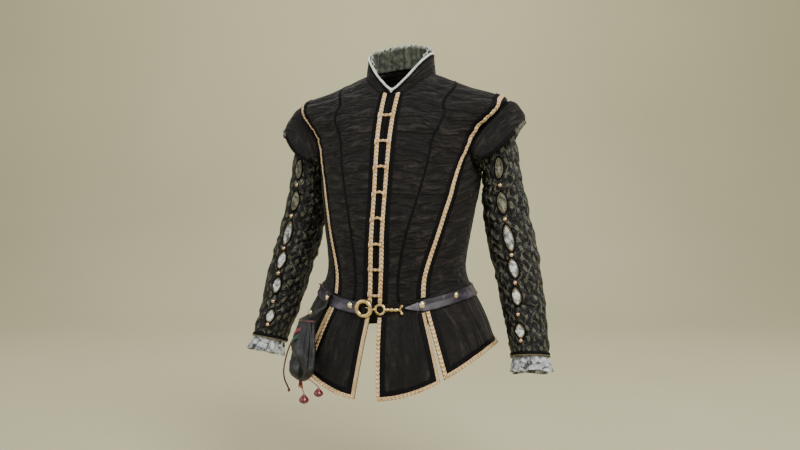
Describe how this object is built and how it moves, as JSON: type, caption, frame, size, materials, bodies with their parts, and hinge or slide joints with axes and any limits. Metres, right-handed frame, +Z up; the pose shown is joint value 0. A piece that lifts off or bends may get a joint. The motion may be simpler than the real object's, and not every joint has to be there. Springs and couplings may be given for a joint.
{
  "type": "tunic",
  "caption": "Fitted doublet with standing collar, shoulder wings, slashed sleeves, braided front, tabbed skirt, ruffled cuffs, belt and hanging pouch, hollow as if worn.",
  "frame": {"origin": "middle of the neck base, between the shoulder seams' inner ends, where the wearer's neck and shoulders hold it", "axes": "the wearer faces -Y, +X is the wearer's left, +Z is up"},
  "size_m": [0.6376, 0.3261, 0.6777],
  "materials": {
    "body_cloth": "matt, near black brown",
    "black_satin": "satin",
    "gold_braid": "woven metal thread",
    "sleeve_brocade": "black brocade with grey-green figures",
    "white_linen": "fine linen",
    "ruffle_linen": "fine grey-green linen",
    "belt_leather": "smooth, dark",
    "pouch_leather": "soft, dark grey",
    "thong_leather": "dull red-brown thong",
    "gilt_brass": "gilt"
  },
  "bodies": {
    "root": {"front_inner_left": "body_cloth", "front_inner_right": "body_cloth", "front_outer_left": "body_cloth", "front_outer_right": "body_cloth", "side_left": "body_cloth", "side_right": "body_cloth", "back_left": "body_cloth", "back_right": "body_cloth", "wing_left": "body_cloth", "wing_right": "body_cloth", "collar": "body_cloth", "placket_guard_left": "black_satin", "placket_guard_right": "black_satin", "guard_left": "black_satin", "guard_right": "black_satin", "cuff_band_left": "black_satin", "cuff_band_right": "black_satin", "placket_braid_left": "gold_braid", "placket_braid_right": "gold_braid", "guard_braid_left": "gold_braid", "guard_braid_right": "gold_braid", "clasp_1": "gold_braid", "clasp_2": "gold_braid", "clasp_3": "gold_braid", "clasp_4": "gold_braid", "clasp_5": "gold_braid", "clasp_6": "gold_braid", "clasp_7": "gold_braid", "clasp_8": "gold_braid", "tab_front_left": "body_cloth", "tab_braid_front_left": "gold_braid", "tab_side_left": "body_cloth", "tab_braid_side_left": "gold_braid", "tab_back": "body_cloth", "tab_braid_back": "gold_braid", "tab_side_right": "body_cloth", "tab_braid_side_right": "gold_braid", "tab_front_right": "body_cloth", "tab_braid_front_right": "gold_braid", "collar_piping": "white_linen", "neck_ruffle": "ruffle_linen", "sleeve_top_left": "sleeve_brocade", "sleeve_top_right": "sleeve_brocade", "sleeve_under_left": "sleeve_brocade", "sleeve_under_right": "sleeve_brocade", "puffs_left": "white_linen", "puffs_right": "white_linen", "cuff_ruffle_left": "white_linen", "cuff_ruffle_right": "white_linen", "belt": "belt_leather", "belt_ring": "gilt_brass", "belt_hook": "gilt_brass", "stud_1": "gilt_brass", "stud_2": "gilt_brass", "stud_3": "gilt_brass", "stud_4": "gilt_brass", "pouch": "pouch_leather", "pouch_hanger": "pouch_leather", "pouch_drawstring": "thong_leather"}
  },
  "joints": []
}
